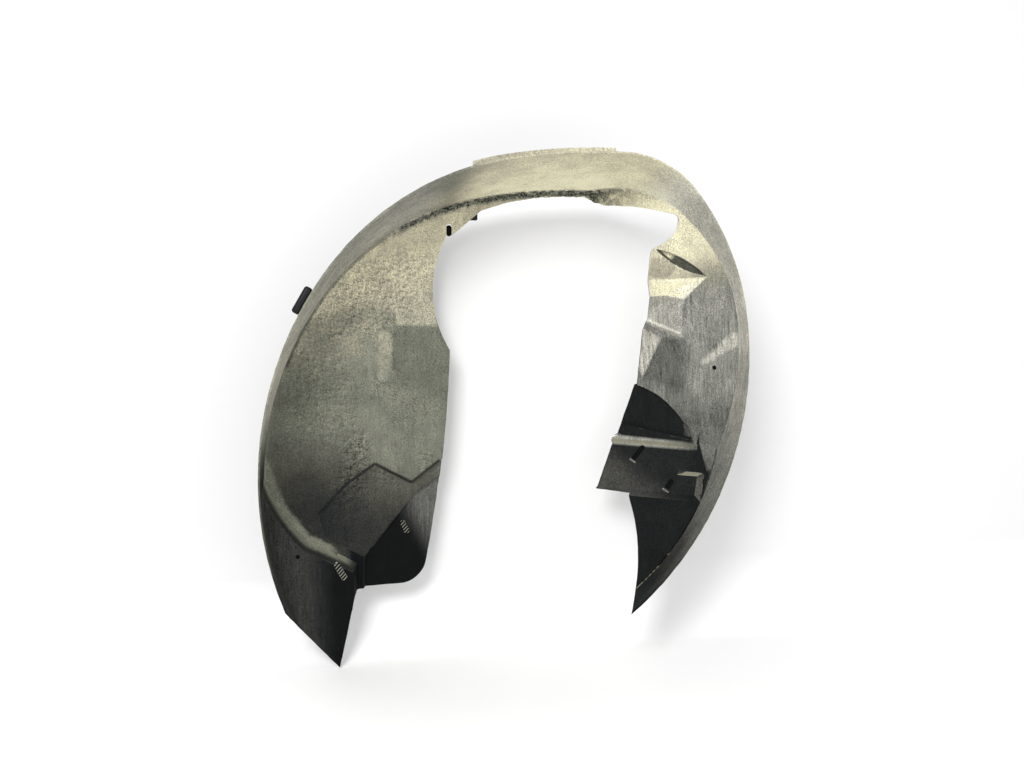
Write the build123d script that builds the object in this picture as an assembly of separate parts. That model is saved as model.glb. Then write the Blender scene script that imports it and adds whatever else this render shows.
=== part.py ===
"""Wheel arch liner: one thin moulded shell with two separate black clips on its edges.

Millimetres. X runs along the vehicle, Y runs inboard from the outer rim at Y = 0, Z is up.
The wheel turns about the Y axis. Every form is made twice, once for the skin that faces the
wheel and once WALL further out, and the shell is the difference.
"""

import os
from math import cos, radians, sin, tan

from build123d import *

# Moulding
WALL = 2.5
DEPTH = 190.0
CROWN_DROP = 34.0
CREASE_R = 6.0
LEDGE_R = 3.0
DRAFT = 20.0

# Outer rim: tangent arcs each way from its top, where the crown arc meets the corner arc
TOP_X, TOP_Z, TOP_HEADING = 170.6164, 360.1815, -1.0
CROWN_R, CROWN_SWEEP = 900.0, 11.0
SHOULDER_R, SHOULDER_SWEEP = 416.0, 45.0
FLANK_R, FLANK_SWEEP = 510.0, 57.0
CORNER_R, CORNER_SWEEP = 154.0, 49.5
HAUNCH_R, HAUNCH_SWEEP = 371.0, 30.5
HEEL_R, HEEL_SWEEP = 490.0, 61.0
FOOT_OVERRUN, TIP_OVERRUN = 17.0, 8.0

# Lip standing out behind the crown of the rim
LIP_Y, LIP_RISE, LIP_LEFT, LIP_RIGHT = 18.0, 11.0, -54.0, 163.0

# Inboard walls: where each one meets the barrel, and how fast it falls away inboard
LEFT_X, LEFT_Y, LEFT_SLOPE = -360.0, 150.0, 0.13
RIGHT_X, RIGHT_Y, RIGHT_SLOPE, RIGHT_LEAN = 372.0, 40.0, 1.0, 0.14
HEEL_REACH, HEEL_Y, HEEL_SLOPE, HEEL_TURN = 365.0, 58.0, 1.0, 30.0

# Left wall reliefs, in wall coordinates: along the wall and up it
TAIL_RISE = 32.0
LEDGE_TOP, LEDGE_BEND, LEDGE_CORNER, LEDGE_END = (-12, -80), (14, -167), (62, -234), (142, -276)
STEP_DEPTH = 8.0
STEP_FOOT, STEP_LEFT, STEP_PEAK = (92, -234), (80, -195), (172, -118)
STEP_DIP, STEP_RIGHT = (233, -151), (320, -90)
LOBE_DEPTH = 14.0
LOBE_TOP, LOBE_FOOT, LOBE_RIGHT = (238, -168), (152, -270), (320, -118)
BEAD_X, BEAD_Z, BEAD_LENGTH, BEAD_WIDTH, BEAD_RISE = 191.0, 56.0, 92.0, 36.0, 7.0

# Right wall reliefs, in wall coordinates
SHELF_TOP, SHELF_BOTTOM, SHELF_SIDE, SHELF_SLANT = 178.0, 58.0, -66.0, 22.0
SHELF_RISE, SHELF_DRAFT = 13.0, 62.0
LENS_LEFT, LENS_RIGHT, LENS_SAG, LENS_DEPTH = (-132, 230), (-46, 184), 8.0, 9.0
QUARTER_TOP, QUARTER_MID, QUARTER_LOW, QUARTER_DEPTH = (-173, 4), (-106, -36), (-76, -84), 8.0

# Plate on the heel wall, in wall coordinates
PLATE_TOP, PLATE_BOTTOM, PLATE_SIDE, PLATE_RISE, PLATE_DRAFT = 99.0, 4.0, -8.0, 10.0, 40.0
PLATE_BITE, PAD_SIDE = (-24, 52), 6.0

# Cut-out, seen from the front
TAIL_TIP, TAIL_TOP, LOBE_CORNER = (-250, -436), (-224, -320), (-112, -321)
LOBE_EDGE, BAY_FOOT, BAY_MID, BAY_TOP = (-76, -101), (-64, 64), (-92, 172), (-69, 250)
NOTCH_WIDTH, NOTCH_RISE = 9.0, 14.0
FLANGE_LEFT, FLANGE_PEAK, FLANGE_RIGHT = (-12, 291), (90, 316), (165, 318)
FLANGE_STEP, FLANGE_MID = (197, 303), (250, 294)
HOOK_TOP, HOOK_MID, HOOK_FOOT = (289, 280), (282, 246), (258, 229)
EDGE_FOOT, EDGE_LOW = (250, 4), (231, -82)
PLATE_HEAD, PLATE_FOOT, PLATE_END, GAP_LOW = (216, -88), (182, -171), (229, -174), (229, -200)
LOBE_R, INNER_R, HOOK_R = 44.0, 12.0, 7.0
FOOT_LINE, FOOT_RAKE = 48.0, 0.33

# Inner edge of the blade below the plate, cut on a rake
BLADE_TOP, BLADE_MID, BLADE_TIP = (183, -149), (199, -240), (187, -338)
BLADE_RAKE_X, BLADE_RAKE_Z = 0.33, -0.24

# Fixing holes and slots, in wall coordinates
HOLE_R, PIN_R = 3.5, 2.0
TAIL_HOLE, HAUNCH_HOLE, LOBE_PIN = (44, -252), (-35, 37), (226, -199)
SLOT_WIDTH = 9.0
LOBE_SLOT, LOBE_SLOT_LENGTH, LOBE_SLOT_TURN = (224, -227), 24.0, 118.0
TAIL_SLOT, TAIL_SLOT_LENGTH, TAIL_SLOT_TURN = (110, -281), 32.0, 120.0
PLATE_SLOT, PLATE_SLOT_LENGTH, PLATE_SLOT_TURN = (-108, 76), 30.0, 58.0
HEEL_SLOT, HEEL_SLOT_LENGTH, HEEL_SLOT_TURN = (-47, 27), 19.0, 60.0

# Clips
CLIP_HEADING, CLIP_Y = 60.0, 10.0
CLIP_LENGTH, CLIP_WIDTH, CLIP_HEIGHT, CLIP_SINK, CLIP_R = 42.0, 16.0, 15.0, 4.0, 5.0
TAB_X, TAB_Z, TAB_WIDTH, TAB_HEIGHT, TAB_DEPTH = -24.0, 286.0, 15.0, 20.0, 7.0
TAB_SINK, TAB_R = 2.0, 2.5

# Working sizes: reach of the cutting blocks, and how far forms run past what they cut
BIG = 1200.0
LOW, RELIEF_LOW, RELIEF_NEAR, RELIEF_FAR = -600.0, -400.0, -150.0, -300.0
LEAD, PAST = 0.1, 1.2
TOLERANCE = 0.01


def facing(origin, fall_x, fall_z):
    """Wall plane that looks at the wheel; it runs inboard by fall_x and fall_z per unit of X and Z."""
    return Plane(origin, x_dir=(1, fall_x, 0), z_dir=(fall_x, -1, fall_z))


TURN = radians(HEEL_TURN)
LEFT = facing((LEFT_X, LEFT_Y, 0), LEFT_SLOPE, 0)
BACK = facing((0, DEPTH, 0), 0, 0)
RIGHT = facing((RIGHT_X, RIGHT_Y, 0), -RIGHT_SLOPE, -RIGHT_LEAN)
HEEL_FOOT = (HEEL_REACH * cos(TURN), HEEL_Y, -HEEL_REACH * sin(TURN))
HEEL = facing(HEEL_FOOT, -HEEL_SLOPE * cos(TURN), HEEL_SLOPE * sin(TURN))
WALLS = (LEFT, BACK, RIGHT, HEEL)
LEAN = Vector(0, DEPTH, -CROWN_DROP)


def rim_run(grow, turn, arcs):
    """Tangent arcs from the top of the rim, to the left for a turn of 1 and to the right for -1."""
    heading = radians(TOP_HEADING)
    point = (TOP_X - grow * sin(heading), TOP_Z + grow * cos(heading))
    direction = (-turn * cos(heading), -turn * sin(heading))
    run = []
    for radius, sweep in arcs:
        arc = JernArc(point, direction, radius + grow, turn * sweep)
        run.append(arc)
        point, direction = arc @ 1, arc % 1
    return run


def left_run(grow):
    flank = (FLANK_R, FLANK_SWEEP + FOOT_OVERRUN)
    return rim_run(grow, 1, ((CROWN_R, CROWN_SWEEP), (SHOULDER_R, SHOULDER_SWEEP), flank))


def right_run(grow):
    heel = (HEEL_R, HEEL_SWEEP + TIP_OVERRUN)
    return rim_run(grow, -1, ((CORNER_R, CORNER_SWEEP), (HAUNCH_R, HAUNCH_SWEEP), heel))


def flank_point(heading, grow):
    """Point of the left flank arc where the rim runs at a heading, `grow` outside the inner skin."""
    top = TOP_HEADING + CROWN_SWEEP + SHOULDER_SWEEP
    place = left_run(grow)[-1] @ ((heading - top) / (FLANK_SWEEP + FOOT_OVERRUN))
    return place.X, place.Y


def rim_face(grow):
    """Front outline of the arch, closed below the feet, `grow` outside the inner skin."""
    left, right = left_run(grow), right_run(grow)
    return Plane.XZ * make_face([*left, *right, Line(left[-1] @ 1, right[-1] @ 1)])


def barrel(grow, start, end):
    """Length of the leaning barrel between two shares of its depth."""
    face = rim_face(grow).moved(Location(LEAN * start))
    return extrude(face, amount=LEAN.length * (end - start), dir=LEAN)


def on_wall(wall, edge, grow):
    """True where an edge lies in a wall's skin."""
    return all(abs(wall.to_local_coords(edge @ part).Z + grow) < TOLERANCE for part in (0, 0.5, 1))


def wheel_space(grow):
    """Barrel closed by the inboard walls, with every crease between them rounded."""
    space = barrel(grow, 0 if grow else -LEAD, PAST)
    behind = Box(BIG, BIG, BIG, align=(Align.CENTER, Align.CENTER, Align.MAX))
    for wall in WALLS:
        space -= wall.offset(-grow).location * behind
    creases = []
    for edge in space.edges():
        walls = sum(on_wall(wall, edge, grow) for wall in WALLS)
        if walls == 2 or (walls == 1 and edge.geom_type != GeomType.LINE):
            creases.append(edge)
    return fillet(creases, CREASE_R + grow)


def relief(wall, outline, height, grow, draft=DRAFT, soft=0):
    """Drafted block on a wall skin: towards the wheel for a positive height, away for a negative one."""
    lean = radians(draft)
    side = grow * (1 - sin(lean)) / cos(lean)
    if grow:
        outline = offset(outline, amount=side if height < 0 else -side, kind=Kind.INTERSECTION)
    crown = offset(outline, amount=-abs(height) * tan(lean), kind=Kind.INTERSECTION)
    block = loft([outline, Pos(0, 0, height) * crown], ruled=True)
    if soft:
        top = block.faces().sort_by(Axis.Z)[-1]
        block = fillet(top.edges(), soft + WALL - grow)
    return wall.offset(-grow).location * block


def tail_outline():
    near = (RELIEF_NEAR, LEDGE_TOP[1])
    return make_face(
        [
            Line(near, LEDGE_TOP),
            ThreePointArc(LEDGE_TOP, LEDGE_BEND, LEDGE_CORNER),
            Line(LEDGE_CORNER, LEDGE_END),
            Polyline(LEDGE_END, (LEDGE_END[0], LOW), (RELIEF_NEAR, LOW), near),
        ]
    )


def step_outline():
    return make_face(
        Polyline(
            STEP_FOOT, STEP_LEFT, STEP_PEAK, STEP_DIP, STEP_RIGHT,
            (STEP_RIGHT[0], RELIEF_LOW), (LOBE_FOOT[0], RELIEF_LOW), LOBE_FOOT, close=True,
        )
    )


def lobe_outline():
    return make_face(
        Polyline(
            LOBE_FOOT, LOBE_TOP, LOBE_RIGHT,
            (LOBE_RIGHT[0], RELIEF_LOW), (LOBE_FOOT[0], RELIEF_LOW), close=True,
        )
    )


def bead_outline():
    return Pos(BEAD_X, BEAD_Z) * SlotOverall(BEAD_LENGTH, BEAD_WIDTH, rotation=90)


def shelf_outline():
    high_end = SHELF_BOTTOM + (SHELF_SIDE - RELIEF_FAR) * tan(radians(SHELF_SLANT))
    return make_face(
        Polyline(
            (RELIEF_FAR, SHELF_TOP), (SHELF_SIDE, SHELF_TOP),
            (SHELF_SIDE, SHELF_BOTTOM), (RELIEF_FAR, high_end), close=True,
        )
    )


def lens_outline():
    upper = SagittaArc(LENS_LEFT, LENS_RIGHT, LENS_SAG)
    lower = SagittaArc(LENS_RIGHT, LENS_LEFT, LENS_SAG)
    return make_face([upper, lower])


def quarter_outline():
    return make_face(
        [
            ThreePointArc(QUARTER_TOP, QUARTER_MID, QUARTER_LOW),
            Polyline(
                QUARTER_LOW, (RELIEF_FAR, QUARTER_LOW[1]), (RELIEF_FAR, QUARTER_TOP[1]), QUARTER_TOP
            ),
        ]
    )


def plate_outline():
    return make_face(
        Polyline(
            (RELIEF_FAR, PLATE_TOP), (PLATE_SIDE, PLATE_TOP), PLATE_BITE, (PAD_SIDE, PLATE_BITE[1]),
            (PAD_SIDE, PLATE_BOTTOM), (RELIEF_FAR, PLATE_BOTTOM), close=True,
        )
    )


def skin(grow):
    """Wheel space with every relief of the walls, `grow` outside the inner skin."""
    space = wheel_space(grow)
    space += relief(LEFT, step_outline(), -STEP_DEPTH, grow)
    space += relief(LEFT, lobe_outline(), -LOBE_DEPTH, grow)
    space += relief(RIGHT, lens_outline(), -LENS_DEPTH, grow)
    space += relief(RIGHT, quarter_outline(), -QUARTER_DEPTH, grow)
    space -= relief(LEFT, tail_outline(), TAIL_RISE, grow, soft=LEDGE_R)
    space -= relief(LEFT, bead_outline(), BEAD_RISE, grow)
    space -= relief(RIGHT, shelf_outline(), SHELF_RISE, grow, SHELF_DRAFT)
    space -= relief(HEEL, plate_outline(), PLATE_RISE, grow, PLATE_DRAFT)
    return space


def rounded(face, point, radius):
    """Face with its corner nearest a point rounded."""
    corner = face.vertices().sort_by_distance((*point, 0))[0]
    return fillet(corner, radius)


def cutout_face():
    """Suspension cut-out and the space between the two feet."""
    notch_right = (BAY_TOP[0] + NOTCH_WIDTH, BAY_TOP[1])
    notch_top = BAY_TOP[1] + NOTCH_RISE
    face = make_face(
        [
            Polyline((TAIL_TIP[0], LOW), TAIL_TIP, TAIL_TOP, LOBE_CORNER),
            ThreePointArc(LOBE_CORNER, LOBE_EDGE, BAY_FOOT),
            ThreePointArc(BAY_FOOT, BAY_MID, BAY_TOP),
            Line(BAY_TOP, (BAY_TOP[0], notch_top)),
            ThreePointArc(
                (BAY_TOP[0], notch_top),
                (BAY_TOP[0] + NOTCH_WIDTH / 2, notch_top + NOTCH_WIDTH / 2),
                (notch_right[0], notch_top),
            ),
            Polyline((notch_right[0], notch_top), notch_right, FLANGE_LEFT),
            ThreePointArc(FLANGE_LEFT, FLANGE_PEAK, FLANGE_RIGHT),
            Line(FLANGE_RIGHT, FLANGE_STEP),
            ThreePointArc(FLANGE_STEP, FLANGE_MID, HOOK_TOP),
            ThreePointArc(HOOK_TOP, HOOK_MID, HOOK_FOOT),
            Polyline(HOOK_FOOT, EDGE_FOOT, EDGE_LOW, PLATE_HEAD, PLATE_FOOT),
            Polyline(PLATE_FOOT, PLATE_END, GAP_LOW, (0, LOW), (TAIL_TIP[0], LOW)),
        ]
    )
    face = rounded(face, LOBE_CORNER, LOBE_R)
    face = rounded(face, TAIL_TOP, INNER_R)
    face = rounded(face, HOOK_TOP, HOOK_R)
    face = rounded(face, HOOK_FOOT, INNER_R)
    return Plane.XZ * face


def cutout():
    face = cutout_face().moved(Location((0, -DEPTH, 0)))
    return extrude(face, amount=4 * DEPTH, dir=(0, 1, 0))


def blade_cut():
    """Everything inside the blade's free edge, raked with the sight line past the rim."""
    face = make_face(
        [
            ThreePointArc(BLADE_TOP, BLADE_MID, BLADE_TIP),
            Polyline(BLADE_TIP, (BLADE_TIP[0], LOW), (0, LOW), (0, BLADE_TOP[1]), BLADE_TOP),
        ]
    )
    rake = Vector(BLADE_RAKE_X, 1, BLADE_RAKE_Z)
    face = (Plane.XZ * face).moved(Location(rake * -DEPTH))
    return extrude(face, amount=3 * DEPTH, dir=rake)


def foot_cut():
    """Everything below the slanting end of the left foot, raked down inboard."""
    slope = radians(FOOT_LINE)
    x, z = flank_point(TOP_HEADING + CROWN_SWEEP + SHOULDER_SWEEP + FLANK_SWEEP, 0)
    end = Plane((x, 0, z), x_dir=(cos(slope), 0, -sin(slope)), z_dir=(0, -1, 0))
    rake = Vector(0, 1, -FOOT_RAKE)
    face = end * Rectangle(BIG / 2, BIG / 2, align=(Align.CENTER, Align.MAX))
    return extrude(face.moved(Location(rake * -DEPTH)), amount=3 * DEPTH, dir=rake)


def lip():
    """Thin lip that stands out behind the crown."""
    start = LIP_Y / DEPTH
    ring = barrel(WALL + LIP_RISE, start, start + WALL / DEPTH) - barrel(WALL / 2, 0, 1)
    window = Box(LIP_RIGHT - LIP_LEFT, BIG, BIG, align=(Align.MIN, Align.CENTER, Align.MIN))
    return ring & Pos(LIP_LEFT, 0, 0) * window


def through(wall, outline):
    """Cutter through a wall, square to it."""
    reach = TAIL_RISE + LOBE_DEPTH + WALL
    return extrude(wall * outline, amount=2 * reach, both=True)


def hole(wall, place, radius):
    return through(wall, Pos(*place) * Circle(radius))


def slot(wall, place, length, turn):
    return through(wall, Pos(*place) * SlotOverall(length, SLOT_WIDTH, rotation=turn))


def liner_shell():
    shell = skin(WALL) - skin(0)
    shell += lip()
    shell -= cutout()
    shell -= blade_cut()
    shell -= foot_cut()
    shell -= hole(LEFT, TAIL_HOLE, HOLE_R)
    shell -= hole(LEFT, LOBE_PIN, PIN_R)
    shell -= hole(RIGHT, HAUNCH_HOLE, HOLE_R)
    shell -= slot(LEFT, LOBE_SLOT, LOBE_SLOT_LENGTH, LOBE_SLOT_TURN)
    shell -= slot(LEFT, TAIL_SLOT, TAIL_SLOT_LENGTH, TAIL_SLOT_TURN)
    shell -= slot(HEEL, PLATE_SLOT, PLATE_SLOT_LENGTH, PLATE_SLOT_TURN)
    shell -= slot(HEEL, HEEL_SLOT, HEEL_SLOT_LENGTH, HEEL_SLOT_TURN)
    return shell


def edge_clip():
    """Rounded clip body seated on the outside of the barrel by the left shoulder."""
    x, z = flank_point(CLIP_HEADING, WALL)
    along = radians(CLIP_HEADING)
    seat = Plane((x, CLIP_Y, z), x_dir=(cos(along), 0, sin(along)), z_dir=(-sin(along), 0, cos(along)))
    body = Box(CLIP_LENGTH, CLIP_WIDTH, CLIP_HEIGHT, align=(Align.CENTER, Align.CENTER, Align.MIN))
    body = fillet(body.edges().filter_by(Axis.X).group_by(Axis.Z)[-1], CLIP_R)
    return seat.offset(-CLIP_SINK).location * body - barrel(WALL, 0, 1)


def wall_depth(x, z):
    """How far inboard the wheel-side skin of the walls lies behind a place in the front view."""
    depths = []
    for wall in WALLS:
        away, origin = wall.z_dir, wall.origin
        depths.append(origin.Y - ((x - origin.X) * away.X + (z - origin.Z) * away.Z) / away.Y)
    return min(depths)


def flange_clip():
    """Small clip seated behind the crown flange, hanging below its edge."""
    seat = wall_depth(TAB_X, TAB_Z) + WALL
    size = (TAB_WIDTH, TAB_DEPTH + TAB_SINK, TAB_HEIGHT)
    body = Box(*size, align=(Align.CENTER, Align.MIN, Align.CENTER))
    body = fillet(body.edges().filter_by(Axis.Y), TAB_R)
    return Pos(TAB_X, seat - TAB_SINK, TAB_Z) * body - wheel_space(WALL)


if __name__ == "__main__":
    nodes = {"liner_shell": liner_shell(), "edge_clip": edge_clip(), "flange_clip": flange_clip()}
    box = nodes["liner_shell"].bounding_box()
    for node in nodes.values():
        box = box.add(node.bounding_box())
    middle = box.center()
    os.makedirs("parts", exist_ok=True)
    for name, node in nodes.items():
        export_step(node.moved(Location(-middle)), f"parts/{name}.step")
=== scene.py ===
"""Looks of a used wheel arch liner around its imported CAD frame. Metres, +Y inboard, +Z up."""

import math

import bpy
from mathutils import Matrix, Vector, kdtree
from mathutils.geometry import intersect_point_line


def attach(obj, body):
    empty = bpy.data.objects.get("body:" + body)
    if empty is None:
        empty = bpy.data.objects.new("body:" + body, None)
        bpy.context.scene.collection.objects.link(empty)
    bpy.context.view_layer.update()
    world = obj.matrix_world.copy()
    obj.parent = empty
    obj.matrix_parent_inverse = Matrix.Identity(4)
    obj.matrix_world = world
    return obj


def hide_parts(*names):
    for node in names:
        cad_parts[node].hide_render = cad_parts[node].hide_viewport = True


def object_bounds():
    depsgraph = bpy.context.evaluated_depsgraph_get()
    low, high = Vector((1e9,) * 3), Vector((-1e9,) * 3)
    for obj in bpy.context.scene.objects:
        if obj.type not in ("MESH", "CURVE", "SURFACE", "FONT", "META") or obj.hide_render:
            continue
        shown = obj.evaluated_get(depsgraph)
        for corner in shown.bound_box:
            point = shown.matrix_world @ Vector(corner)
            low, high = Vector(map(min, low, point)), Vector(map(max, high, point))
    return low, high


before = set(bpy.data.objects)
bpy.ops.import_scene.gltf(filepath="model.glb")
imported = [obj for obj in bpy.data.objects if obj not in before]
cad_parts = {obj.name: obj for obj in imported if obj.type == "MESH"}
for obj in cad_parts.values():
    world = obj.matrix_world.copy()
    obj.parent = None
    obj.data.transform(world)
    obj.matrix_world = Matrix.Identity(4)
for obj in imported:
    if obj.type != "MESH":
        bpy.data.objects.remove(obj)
cad_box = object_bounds()

# Where the wheel axis meets the rim plane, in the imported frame, and the length of a millimetre
HUB = Vector((-0.0043, -0.1036, 0.0326))
MM = 0.001

# Camera, as the photograph was taken
CAMERA_AZIMUTH, CAMERA_ELEVATION, CAMERA_DISTANCE = -12.0, 4.0, 1.45
CAMERA_TARGET = HUB + Vector((0, 0, 0.02))
FOCAL_PIXELS, IMAGE_WIDTH, SENSOR_WIDTH = 986.4, 1024, 36.0

# Studio: lamp places, sizes and powers, and the strength of the white surroundings
KEY_PLACE, KEY_SIZE, KEY_POWER = (-0.95, -2.1, 1.25), 0.8, 50
FILL_PLACE, FILL_SIZE, FILL_POWER = (1.4, -2.2, 0.2), 1.8, 26
SURROUNDINGS = 0.55

# Backdrop: where it stands, its bend from floor to wall, how white both are, and slack in picking its edges
WALL_BEHIND, FLOOR_BELOW, STAGE_REACH = 0.05, 0.001, 4.0
SWEEP_RADIUS, SWEEP_STEPS = 0.12, 24
WALL_WHITE, FLOOR_WHITE = 0.70, 0.95
PICK_SLACK = 0.01

# Mesh of the shell: pitch of its cuts, merged doubles, dropped slivers, and turns taken as flat and as smooth
GRID, DOUBLES, SLIVERS = 0.006, 0.00002, 0.0003
FLAT_TURN, SMOOTH_TURN = math.radians(0.4), math.radians(28)

# Wall planes of the moulding: a point of each in mm about the hub, and its run inboard along X and Z
LEFT_WALL = (-360, 150, 0), 0.13, 0.0
RIGHT_WALL = (372, 40, 0), -1.0, -0.14
HEEL_WALL = (316.1, 58, -182.5), -0.866, 0.5


def only(piece):
    """Makes one object the only selected and active one."""
    bpy.ops.object.select_all(action="DESELECT")
    piece.select_set(True)
    bpy.context.view_layer.objects.active = piece


def edit_mesh(selected):
    """Opens the active piece's mesh, with all or none of it selected."""
    bpy.ops.object.mode_set(mode="EDIT")
    bpy.ops.mesh.select_all(action="SELECT" if selected else "DESELECT")


def reopen_mesh():
    bpy.ops.object.mode_set(mode="EDIT")


def close_mesh():
    bpy.ops.object.mode_set(mode="OBJECT")


def ramp(value, low, high):
    """Smooth step from 0 at low to 1 at high; high may be the lower of the two."""
    share = min(max((value - low) / (high - low), 0.0), 1.0)
    return share * share * (3 - 2 * share)


def about_hub(place):
    """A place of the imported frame, in mm about the hub."""
    return tuple((place - HUB) / MM)


def round_hub(x, z):
    """Angle of a place round the hub in degrees, from -120 at the heel over the crown to 240."""
    angle = math.degrees(math.atan2(z, x))
    return angle if angle > -120 else angle + 360


def wall_height(place, wall):
    """How far a place, in mm about the hub, lies inboard of a wall's plane."""
    foot, fall_x, fall_z = wall
    plane_y = foot[1] + fall_x * (place[0] - foot[0]) + fall_z * (place[2] - foot[2])
    return (place[1] - plane_y) / math.sqrt(1 + fall_x ** 2 + fall_z ** 2)


def camera_place():
    """Where the camera stands, and the way to it from its target."""
    azimuth, elevation = math.radians(CAMERA_AZIMUTH), math.radians(CAMERA_ELEVATION)
    back = Vector((
        math.sin(azimuth) * math.cos(elevation),
        -math.cos(azimuth) * math.cos(elevation),
        math.sin(elevation),
    ))
    return CAMERA_TARGET + back * CAMERA_DISTANCE, back


def copy_of(node, name):
    """Loose copy of a CAD node with its doubles merged."""
    piece = bpy.data.objects.new(name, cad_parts[node].data.copy())
    bpy.context.scene.collection.objects.link(piece)
    piece.data.materials.clear()
    only(piece)
    edit_mesh(selected=True)
    bpy.ops.mesh.remove_doubles(threshold=DOUBLES)
    close_mesh()
    return piece


def slice_grid(piece, pitch):
    """Cuts a piece along regular planes, so that its faces are fine enough to be pushed about."""
    only(piece)
    edit_mesh(selected=True)
    bpy.ops.mesh.dissolve_limited(angle_limit=FLAT_TURN)
    corners = [Vector(corner) for corner in piece.bound_box]
    for axis in range(3):
        low = min(corner[axis] for corner in corners)
        high = max(corner[axis] for corner in corners)
        normal = Vector((0, 0, 0))
        normal[axis] = 1
        steps = int((high - low) / pitch)
        for step in range(1, steps + 1):
            place = Vector((0, 0, 0))
            place[axis] = low + step * (high - low) / (steps + 1)
            bpy.ops.mesh.select_all(action="SELECT")
            bpy.ops.mesh.bisect(plane_co=place, plane_no=normal)
    bpy.ops.mesh.select_all(action="SELECT")
    bpy.ops.mesh.dissolve_degenerate(threshold=SLIVERS)
    close_mesh()


# Parts of the moulding: limits in mm about the hub, heights inboard of a wall, and limits of face normals
INBOARD_NORMAL = 0.15
EDGE_Y, EDGE_RADIUS, EDGE_NORMAL = 6, 320, -0.6
LEFT_END_X, LEFT_END_Z = -40, 285
BEAD_X, BEAD_Z, BEAD_HEIGHT = (-210, -130), (0, 112), -3
LEFT_BARREL_NORMAL, LEFT_BARREL_HEIGHT = 0.45, -5
BARREL_FOOT_X, BARREL_FOOT_RISE, BARREL_FOOT_RUN = -350, 0.4, (-130, -20)
LEDGE_LINE = ((-372, -80), (-356, -125), (-337, -180), (-298, -234), (-219, -276))
LEDGE_TOP, LEDGE_NORMAL, LEDGE_HEIGHT, LEDGE_REACH = -80, 0.3, -2, 30
TAIL_TOP, TAIL_HEIGHT = -60, -20
NOOK_TOP, NOOK_X, NOOK_HEIGHT = -225, -235, -1
STEP_HEIGHT, LOBE_HEIGHT = 4, 10
BARREL_RADIUS, BARREL_NORMAL, HEEL_BARREL_NORMAL = 297, 0.35, 0.2
FLANGE_X = 205
HEEL_TOP = -60
FACET_NORMAL, FACET_FOOT, FACET_HEIGHT = 0.3, 120, -1
FLUSH, LENS_FOOT = 0.8, 100
SHELF_HEIGHT, SHELF_X = -9, 312
QUARTER_FOOT, QUARTER_X = -88, 312
PLATE_TOP_NORMAL, SEAM_NORMAL, POCKET_NORMAL = 0.55, -0.7, -0.9
BLADE_TOP = -172


def wheel_side(place, normal, eye):
    """True where a surface looks at the camera, or at the hub without turning inboard, so at the wheel."""
    return normal.dot(eye - place) > 0 or (normal.y < INBOARD_NORMAL and normal.dot(HUB - place) > 0)


def barrel_rise(x, z):
    """Height of a place, less the slant of the line where the left end of the barrel runs out."""
    return z - BARREL_FOOT_RISE * (x - BARREL_FOOT_X)


def ledge_gap(x, z):
    """Distance from the foot of the ledge, in mm."""
    place = Vector((x, z))
    gaps = []
    for start, end in zip(LEDGE_LINE, LEDGE_LINE[1:]):
        start, end = Vector(start), Vector(end)
        _, share = intersect_point_line(place, start, end)
        gaps.append((place - start.lerp(end, min(max(share, 0.0), 1.0))).length)
    return min(gaps)


def left_zone(place, normal):
    """Part of the left wall that a face belongs to."""
    x, _, z = place
    height = wall_height(place, LEFT_WALL)
    if BEAD_Z[0] < z < BEAD_Z[1] and BEAD_X[0] < x < BEAD_X[1]:
        return "bead" if height < BEAD_HEIGHT else "panel"
    upright = abs(normal.y) < LEFT_BARREL_NORMAL and height < LEFT_BARREL_HEIGHT
    if upright and barrel_rise(x, z) > BARREL_FOOT_RUN[0]:
        return "barrel"
    if z < LEDGE_TOP and normal.z > LEDGE_NORMAL and height < LEDGE_HEIGHT and ledge_gap(x, z) < LEDGE_REACH:
        return "ledge"
    if z < TAIL_TOP and height < TAIL_HEIGHT:
        return "tail"
    if z < NOOK_TOP and x > NOOK_X and height < NOOK_HEIGHT:
        return "nook"
    if z > 0 or height < STEP_HEIGHT:
        return "panel"
    return "lobe" if height > LOBE_HEIGHT else "step"


def right_zone(place, normal):
    """Part of the right wall above the heel that a face belongs to."""
    x, _, z = place
    height = wall_height(place, RIGHT_WALL)
    if normal.z > FACET_NORMAL and z > FACET_FOOT and height < FACET_HEIGHT:
        return "facet"
    if height > FLUSH:
        return "lens" if z > LENS_FOOT else "quarter"
    return "shelf" if height < SHELF_HEIGHT and x < SHELF_X else "side"


def heel_zone(place, normal):
    """Part of the heel that a face belongs to: the quarter's foot, or the plate and blade below it."""
    x, _, z = place
    if z > QUARTER_FOOT and (x < QUARTER_X or normal.z > PLATE_TOP_NORMAL):
        return "quarter"
    if normal.z > PLATE_TOP_NORMAL:
        return "facet"
    if wall_height(place, RIGHT_WALL) > -FLUSH:
        return "neck"
    if normal.x < SEAM_NORMAL:
        return "seam"
    if wall_height(place, HEEL_WALL) > -FLUSH:
        return "blade" if z < BLADE_TOP else "neck"
    return "pocket" if normal.y < POCKET_NORMAL else "plate"


def dust_zone(place, normal):
    """Part of the moulding that a face belongs to, from its place in mm about the hub and its normal."""
    x, y, z = place
    radius = math.hypot(x, z)
    if y < EDGE_Y and normal.y < EDGE_NORMAL and radius > EDGE_RADIUS:
        return "edge"
    if x < LEFT_END_X and z < LEFT_END_Z:
        return left_zone(place, normal)
    if abs(normal.y) < (BARREL_NORMAL if z > HEEL_TOP else HEEL_BARREL_NORMAL) and radius > BARREL_RADIUS:
        return "barrel"
    if x < FLANGE_X and z > 0:
        return "flange"
    return right_zone(place, normal) if z > HEEL_TOP else heel_zone(place, normal)


# Dust as paleness, of the parts where it is even; the lens and quarter recesses are dark for little dust and
# for painted shade
EVEN_DUST_AND_SHADE = {"nook": 0.003, "lens": 0.07, "shelf": 0.27, "quarter": 0.009, "blade": 0.008}

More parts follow.
